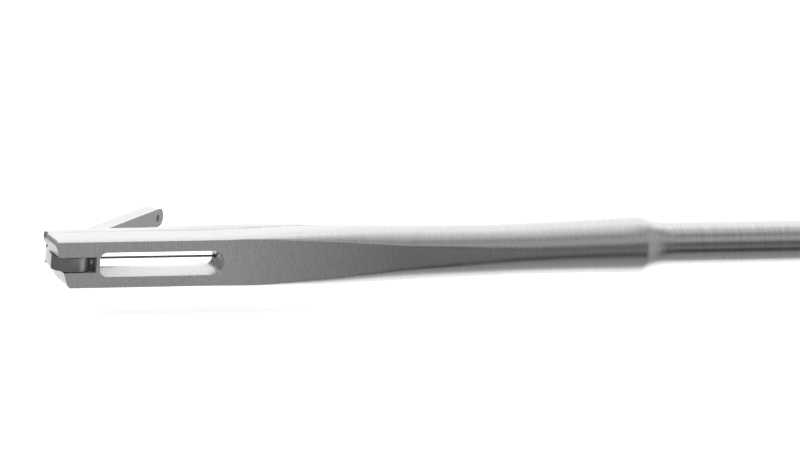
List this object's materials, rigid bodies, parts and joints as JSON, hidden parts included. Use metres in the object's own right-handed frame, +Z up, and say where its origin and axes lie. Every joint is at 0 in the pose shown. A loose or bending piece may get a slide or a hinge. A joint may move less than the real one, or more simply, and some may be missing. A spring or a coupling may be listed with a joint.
{
  "type": "long reach stapler",
  "caption": "Slim long reach stapler lying on its side: a pistol grip trigger pulls a rod down a thin turning steel shaft and swings the hinged anvil arm shut against the slotted head.",
  "frame": {"origin": "the handle's flat underside, below the shaft's axis and 40 mm behind the nose", "axes": "+X along the shaft from the tip towards the handle, +Z up as the part lies on its side, +Y the side the anvil arm opens to"},
  "size_m": [0.3546, 0.1178, 0.014],
  "materials": {
    "satin_steel": "satin, fine grain",
    "polished_steel": "polished",
    "spring_steel": "drawn",
    "red_plastic": "semi-gloss",
    "dark_plastic": "fine moulded grain",
    "soft_grip": "matt"
  },
  "bodies": {
    "handle": {"handle_shell_lower": "red_plastic", "handle_shell_upper": "red_plastic", "grip_panel_lower": "soft_grip", "grip_panel_upper": "soft_grip", "housing_screw_1": "polished_steel", "housing_screw_2": "polished_steel", "housing_screw_3": "polished_steel", "housing_screw_4": "polished_steel", "trigger_pivot_pin": "polished_steel", "trigger_washer_lower": "polished_steel", "trigger_washer_upper": "polished_steel", "return_spring": "spring_steel"},
    "shaft": {"shaft_tube": "satin_steel", "head_spigot": "satin_steel", "head_body": "satin_steel", "head_back_plate": "satin_steel", "plate_screw_1": "polished_steel", "plate_screw_2": "polished_steel", "arm_pivot_pin": "polished_steel", "shaft_collar": "polished_steel", "rotation_knob": "red_plastic", "knob_set_screw": "polished_steel"},
    "rod": {"pull_rod": "spring_steel", "drive_wire": "polished_steel", "rod_spool": "polished_steel"},
    "arm": {"anvil_arm": "satin_steel"},
    "trigger": {"trigger": "dark_plastic", "trigger_pad": "soft_grip"}
  },
  "joints": [
    {"name": "shaft_turn", "type": "hinge", "parent": "handle", "child": "shaft", "pos_m": [-0.04, 0, 0.007], "axis": [1, 0, 0], "continuous": true},
    {"name": "trigger_hinge", "type": "hinge", "parent": "handle", "child": "trigger", "pos_m": [-0.012, 0.0049, 0.007], "axis": [0, 0, 1], "range_deg": [0, 12], "stiffness_Nm_per_rad": 0.15, "springref_deg": -5.73},
    {"name": "rod_slide", "type": "slide", "parent": "shaft", "child": "rod", "axis": [1, 0, 0], "range_m": [0, 0.00103], "deforming": ["return_spring"]},
    {"name": "arm_hinge", "type": "hinge", "parent": "shaft", "child": "arm", "pos_m": [-0.2976, -0.00085, 0.0064], "axis": [0, 0, 1], "range_deg": [-46.51, 0]}
  ],
  "couplings": [
    {"joint": "rod_slide", "follows": "trigger_hinge", "m_per_rad": 0.0049004},
    {"joint": "arm_hinge", "follows": "trigger_hinge", "ratio": -3.875}
  ]
}
